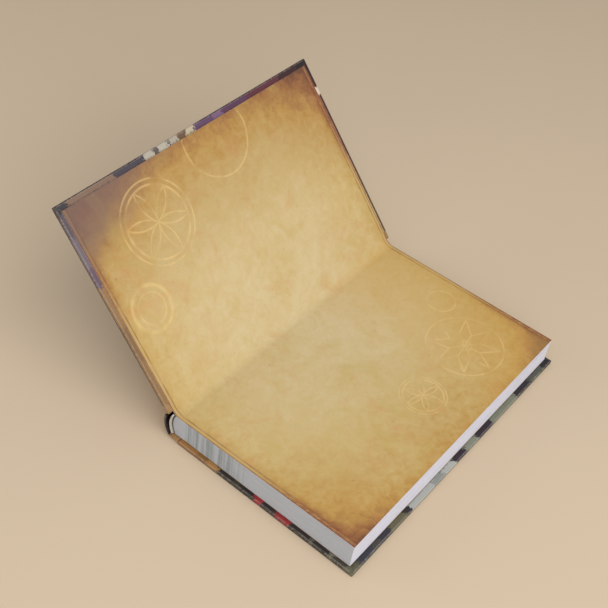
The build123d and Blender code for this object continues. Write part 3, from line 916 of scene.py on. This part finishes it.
class BOOK_OT_front_endpaper(bpy.types.Operator):
    """Builds the front endpaper as one sheet: flyleaf, gutter fold and pasted half."""

    bl_idname = "book.front_endpaper"
    bl_label = "Front Endpaper"

    def execute(self, context):
        lift = context.scene.book_sizes.flyleaf_lift / MM
        line, mark, reach = self.folded_line()
        start, end = WINDOW_HALF - RAMP, WINDOW_HALF
        up = spread(-HALF_PAGE, 6, -end, 8, -start, 70, start, 8, end, 6, HALF_PAGE)
        on_turn_in = np.maximum(smooth(reach, WINDOW_REACH - RAMP, WINDOW_REACH)[:, None],
                                smooth(np.abs(up), start, end))
        raised = PAPER * on_turn_in * smooth(reach, 2.0, BOARD_START + 1.5)[:, None]
        loose = smooth(mark, 60, PAGE_WIDTH)[:, None] * (0.55 + 0.45 * np.sin(up / 34 + 0.7))
        cockle = COCKLE * np.sin(up / 17) * np.sin(mark / 13)[:, None]
        cockle = cockle * (smooth(reach, 20, 45) * smooth(reach, PASTED_REACH, 95))[:, None]
        side = -normals_of(line)[:, None, :]
        middle = line[:, None, :] + lifted(up) + side * (raised + loose * lift + cockle)[:, :, None]
        half = side * LEAF / 2
        figures = [(rosette, (-94.0, -50.0), 21, 0.75), (ring, (-56.0, -80.0), 13, 1.5),
                   (ring, (-56.0, -80.0), 9, 0.6), (star, (88.0, 58.0), 22, 10, 0.7),
                   (rosette, (92.0, 8.0), 12, 0.6), (ring, (56.0, 80.0), 9, 0.7),
                   (ring, (-118.0, 12.0), 24, 0.8)]
        face = parchment("front_endpaper", True, (mark[-1], mark[0]), figures)
        piece = slab("front_endpaper", middle + half, middle - half, sheet_spots(mark, up),
                     [face, cut_paper()])
        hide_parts("front_flyleaf", "front_gutter", "front_pastedown")
        ends = [tuple(front_place(reach, 0.0) * MM) for reach in BEND_REACHES]
        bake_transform(piece)
        return {"FINISHED"}

    def folded_line(self):
        """The sheet's middle line from the flyleaf's fore edge over the gutter fold to the end of
        the pasted half; for each point also its place across the flat sheet from the spine, and
        its reach along the cover."""
        level = INNER_FACE + PAPER + LEAF / 2
        leaf_end = section(SPINE_X + GUTTER_REACH, SPINE_TOP + GUTTER_REACH * math.tan(LEAF_SLOPE))
        leaf_end = leaf_end + section(LEAF_WAY[2], -LEAF_WAY[0]) * LEAF / 2
        fore = section(FORE_X, FORE_TOP - LEAF / 2 / math.cos(LEAF_SLOPE))
        board_end = front_place(BOARD_START, level)
        fold = meet(board_end, COVER_WAY, leaf_end, LEAF_WAY)
        turn = math.radians(180 - OPEN_ANGLE) + LEAF_SLOPE
        # A sliver of straight stays before the fold, so that no two points fall together
        radius = np.linalg.norm(leaf_end - fold) / math.tan(turn / 2) * 0.999
        bend = rounded([leaf_end, fold, board_end], radius, 20, 0.12)
        run = lengths_of(bend)
        leaf_x = spread(FORE_X, 8, FORE_X - 12, 44, SPINE_X + GUTTER_REACH)
        share = (leaf_x - leaf_end[0]) / (fore[0] - leaf_end[0])
        leaf = leaf_end + (fore - leaf_end) * share[:, None]
        reaches = spread(BOARD_START, 44, WINDOW_REACH - RAMP, 8, WINDOW_REACH, 6, PASTED_REACH)
        board = np.array([front_place(reach, level) for reach in reaches])
        line = np.concatenate([leaf[:-1], bend, board[1:]])
        mark = np.concatenate([leaf_x[:-1] - SPINE_X, GUTTER_REACH - run,
                               GUTTER_REACH - run[-1] - (reaches[1:] - BOARD_START)])
        reach = np.concatenate([np.full(len(leaf) - 1, OFF_COVER), (bend - FRONT_HINGE) @ COVER_WAY,
                                reaches[1:]])
        return line, mark, reach


class BOOK_OT_back_endpaper(bpy.types.Operator):
    """Dresses the back endpaper and builds the fold that joins its halves."""

    bl_idname = "book.back_endpaper"
    bl_label = "Back Endpaper"

    def execute(self, context):
        # Both halves lie on one side of the spine, so the span has no fore edge on the other
        span = (-1000.0, PAGE_WIDTH)
        figures = [(rosette, (90.0, -50.0), 22, 0.7), (star, (84.0, 50.0), 20, 9, 0.7)]
        face = parchment("back_endpaper", False, span, figures)
        dress("back_flyleaf", face)
        dress("back_pastedown", face)
        start = section(SPINE_X, BLOCK_FOOT - LEAF / 2)
        end = section(BACK_HINGE[0] + BOARD_START, BACK_HINGE[2] - INNER_FACE - PAPER - LEAF / 2)
        share = np.linspace(0, 1, 22)
        line = start + (end - start) * share[:, None]
        line[:, 2] = start[2] + (end[2] - start[2]) * smooth(share, 0, 1)
        up = np.linspace(-HALF_PAGE, HALF_PAGE, 9)
        grid = line[:, None, :] + lifted(up)
        half = normals_of(line)[:, None, :] * LEAF / 2
        fold = parchment("back_gutter", True, span, figures[:1])
        piece = slab("back_gutter_fold", grid - half, grid + half,
                     sheet_spots(line[:, 0] - SPINE_X, up), [fold, cut_paper()])
        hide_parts("back_gutter")
        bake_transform(piece)
        return {"FINISHED"}


class BOOK_OT_covers(bpy.types.Operator):
    """Dresses the boards and their printed covering."""

    bl_idname = "book.covers"
    bl_label = "Covers"

    def execute(self, context):
        board = plain_paper("greyboard", "board", "lining", 1.1)
        front = cover_print("front_print", FRONT_HINGE, COVER_WAY, COVER_OUT, True,
                            FRONT_FORE, FRONT_TAIL, FRONT_HEAD)
        back = cover_print("back_print", BACK_HINGE, (1.0, 0.0, 0.0), (0.0, 0.0, -1.0), False,
                           BACK_FORE, BACK_TAIL, BACK_HEAD)
        for side, covering in (("front", front), ("back", back)):
            dress(f"{side}_board", board)
            dress(f"{side}_cover_paper", covering)
        return {"FINISHED"}


class BOOK_OT_joints(bpy.types.Operator):
    """Builds the covering across both joints, folded in at head and tail."""

    bl_idname = "book.joints"
    bl_label = "Joints"

    def execute(self, context):
        material = spine_print("joint_print", True)
        out = (CASE_TOP - HOLLOW_CENTRE) / HOLLOW_RADIUS
        rise = section(out[2], -out[0])
        edge = front_place(BOARD_START, OUTER_FACE - PAPER / 2)
        corner = meet(edge, COVER_WAY, CASE_TOP, rise)
        front = rounded([CASE_TOP, corner, edge], FOLD_RADIUS, 26, 0.1)
        level = INNER_FACE + LEAF + PAPER * 1.5
        turned_end = CASE_TOP - out * PAPER
        turned = rounded([turned_end, turned_end + rise * TURNED_RISE,
                          front_place(TURNED_REACH, level), front_place(BOARD_START, level)],
                         GROOVE_RADIUS, 8, 0.1)
        turned = resampled(turned, len(front))
        folded = turned - normals_of(turned) * PAPER / 2
        ends = [front_place(reach, 0.0) for reach in BEND_REACHES]
        self.cover_joint("front", front, folded, -1, ends, material)

        out = (CASE_LOW - HOLLOW_CENTRE) / HOLLOW_RADIUS
        edge = section(BACK_HINGE[0] + BOARD_START, PAPER / 2)
        groove = edge + section(-GROOVE_RUN - GROOVE_WALL, GROOVE_DEPTH)
        corner = meet(CASE_LOW, section(-out[2], out[0]), groove, section(1.0, 0.0))
        foot = edge - section(GROOVE_RUN, 0.0)
        back = rounded([CASE_LOW, corner, groove, foot, edge], GROOVE_RADIUS, 8, 0.25)
        folded = back + normals_of(back) * PAPER * 1.5
        self.cover_joint("back", back, folded, 1, (back[0], back[-1]), material)
        return {"FINISHED"}

    def cover_joint(self, side, line, folded, inward, ends, material):
        """One joint: single across the middle, and out to its folded layer near head and tail."""
        turn = np.radians([0, 25, 50, 72, 90])
        rim = HALF_COVER - EDGE_CURL + EDGE_CURL * np.sin(turn)
        curl = EDGE_CURL * (1 - np.cos(turn))
        start, end = WINDOW_HALF - TURN_STEP, WINDOW_HALF
        middle = spread(-rim[0], 5, -end, 3, -start, 12, start, 3, end, 5, rim[0])
        up = np.concatenate([-rim[::-1], middle[1:-1], rim])
        inset = np.concatenate([curl[::-1], np.zeros(len(middle) - 2), curl])[None, :, None]
        normal = normals_of(line) * inward
        share = smooth(np.abs(up), start, end)[None, :, None]
        single = line + normal * PAPER / 2
        thick = np.maximum(np.linalg.norm(folded - single, axis=1), PAPER)
        through = (folded - single) / thick[:, None]
        outer = line[:, None, :] + lifted(up) + normal[:, None, :] * (inset - PAPER / 2)
        inner = single[:, None, :] * (1 - share) + folded[:, None, :] * share + lifted(up)
        inner = inner - through[:, None, :] * inset
        faces = (outer, inner) if side == "front" else (inner, outer)
        spots = sheet_spots(lengths_of(line), up)
        piece = slab(f"{side}_joint_covering", *faces, spots, [material])
        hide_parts(f"{side}_joint")
        tuple(ends[0] * MM)
        tuple(ends[1] * MM)
        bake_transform(piece)


class BOOK_OT_spine(bpy.types.Operator):
    """Dresses the hollow back and what is glued on the spine of the block."""

    bl_idname = "book.spine"
    bl_label = "Spine"

    def execute(self, context):
        dress("spine_cover", spine_print("spine_print", False))
        dress("spine_inlay", plain_paper("inlay_card", "board", "lining", 1.3))
        dress("spine_lining", plain_paper("kraft_lining", "lining", "board", 1.2))
        dress("spine_gauze", woven("gauze", "cloth", "cloth_stripe", 0.9))
        return {"FINISHED"}


class BOOK_OT_bands(bpy.types.Operator):
    """Builds the head and tail bands: a ribbed bead of two threads over a cloth tape."""

    bl_idname = "book.bands"
    bl_label = "Bands"

    def execute(self, context):
        pitch = context.scene.book_sizes.thread_pitch / MM
        line, centre, radius = arc_between(SPINE_FOOT, SPINE_MIDDLE, SPINE_CROWN, BEAD_STEPS)
        out = ((line - centre) / radius)[:, None, :]
        run = lengths_of(line)
        rib = np.abs(np.sin(run * math.pi / pitch)) ** 0.7
        fade = smooth(run, 0, 0.5) * smooth(run[-1] - run, 0, 0.5)
        thick = ((0.9 + 0.1 * rib) * (0.8 + 0.2 * fade))[:, None]
        angle = np.linspace(0, math.pi, 15)
        depth = np.concatenate([[0.0], BEAD / 2 * (1 - np.cos(angle)), [BEAD]])
        reach = np.concatenate([[-0.001], BEAD_OVERHANG * np.sin(angle) ** 0.6, [-0.001]])
        base = SECTION_FOLD + GLUE_FILM
        shift = out * (base + BEAD / 2 + (depth - BEAD / 2) * thick)[:, :, None]
        about = np.linspace(0, 4, len(depth))
        faces = bar_faces(len(line), len(depth))
        cloth = woven("band_tape", "cloth", "cloth_stripe", 0.5)
        thread = band_thread(pitch)
        some = slice(None, None, TAPE_EVERY)
        for end, sign in (("head", 1), ("tail", -1)):
            points = line[:, None, :] + shift
            points[:, :, 1] += sign * (HALF_PAGE + reach * thick)
            piece = mesh_piece(f"{end}_bead", points, faces, sheet_spots(run, about), [thread], 50)
            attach(piece, "book_block")
            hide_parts(f"{end}_band")
            across = np.linspace(HALF_PAGE - TAPE_LENGTH, HALF_PAGE, 9) * sign
            grid = line[some, None, :] + lifted(across)
            sides = (grid + out[some] * (base + TAPE), grid + out[some] * base)[::-sign]
            strip = slab(f"{end}_tape", *sides, sheet_spots(run[some], across), [cloth])
            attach(strip, "book_block")
        return {"FINISHED"}


class BOOK_OT_stage(bpy.types.Operator):
    """Sets the floor, the soft lamps and the camera."""

    bl_idname = "book.stage"
    bl_label = "Stage"

    def execute(self, context):
        scene = context.scene
        finish = Finish("floor", Roughness=0.95)
        soft = finish.noise(finish.object_place(), 0.004, 2)
        finish.feed(Base_Color=finish.mix("floor", FLOOR_SHADE, soft * 0.4))
        mesh = bpy.data.meshes.new("floor")
        far = FLOOR_HALF
        mesh.from_pydata([(-far, -far, 0), (far, -far, 0), (far, far, 0), (-far, far, 0)], [],
                         [(0, 1, 2, 3)])
        mesh.materials.append(finish.material)
        floor = bpy.data.objects.new("floor", mesh)
        scene.collection.objects.link(floor)

        scene.world = bpy.data.worlds.new("studio")
        scene.world.use_nodes = True
        sky = scene.world.node_tree.nodes["Background"].inputs
        sky["Color"].default_value = STUDIO_LIGHT
        sky["Strength"].default_value = STUDIO_POWER
        for name, place, size, power in LAMPS:
            lamp = bpy.data.lights.new(name, "AREA")
            lamp.shape = "SQUARE"
            lamp.size = size
            lamp.energy = power
            light = bpy.data.objects.new(name, lamp)
            light.location = place
            light.rotation_euler = (-Vector(place)).to_track_quat("-Z", "Y").to_euler()
            scene.collection.objects.link(light)

        eye = bpy.data.cameras.new("camera")
        eye.sensor_fit = "HORIZONTAL"
        eye.sensor_width = SENSOR_WIDTH
        eye.lens = scene.book_sizes.camera_lens
        eye.clip_start = 0.01
        camera = bpy.data.objects.new("camera", eye)
        scene.collection.objects.link(camera)
        look = Vector(CAMERA_LOOK).normalized()
        level_right = look.cross(Vector((0, 0, 1))).normalized()
        level_up = level_right.cross(look)
        roll = math.radians(CAMERA_ROLL)
        right = level_right * math.cos(roll) + level_up * math.sin(roll)
        up = level_up * math.cos(roll) - level_right * math.sin(roll)
        turn = Matrix((right, up, -look)).transposed().to_4x4()
        camera.matrix_world = Matrix.Translation(Vector(CAMERA_SPOT) * MM) @ turn
        scene.camera = camera
        scene.view_settings.view_transform = "Standard"
        return {"FINISHED"}


class BOOK_PT_panel(bpy.types.Panel):
    """Lists what dresses the book."""

    bl_idname = "BOOK_PT_panel"
    bl_label = "Case-Bound Book"
    bl_space_type = "VIEW_3D"
    bl_region_type = "UI"
    bl_category = "Book"

    def draw(self, context):
        for group in (context.scene.book_sizes, context.scene.book_colours):
            column = self.layout.column(align=True)
            for name in group.__annotations__:
                column.prop(group, name)
        column = self.layout.column()
        for operator in OPERATORS:
            column.operator(operator.bl_idname)


OPERATORS = (BOOK_OT_stage, BOOK_OT_page_block, BOOK_OT_front_endpaper, BOOK_OT_back_endpaper,
             BOOK_OT_covers, BOOK_OT_joints, BOOK_OT_spine, BOOK_OT_bands)
CLASSES = (BookSizes, BookColours, *OPERATORS, BOOK_PT_panel)


def register():
    for kind in CLASSES:
        bpy.utils.register_class(kind)
    bpy.types.Scene.book_sizes = bpy.props.PointerProperty(type=BookSizes)
    bpy.types.Scene.book_colours = bpy.props.PointerProperty(type=BookColours)


def unregister():
    del bpy.types.Scene.book_colours
    del bpy.types.Scene.book_sizes
    for kind in reversed(CLASSES):
        bpy.utils.unregister_class(kind)


def main():
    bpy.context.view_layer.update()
    register()
    bpy.ops.book.stage()
    bpy.ops.book.page_block()
    bpy.ops.book.front_endpaper()
    bpy.ops.book.back_endpaper()
    bpy.ops.book.covers()
    bpy.ops.book.joints()
    bpy.ops.book.spine()
    bpy.ops.book.bands()


if __name__ == "__main__":
    main()
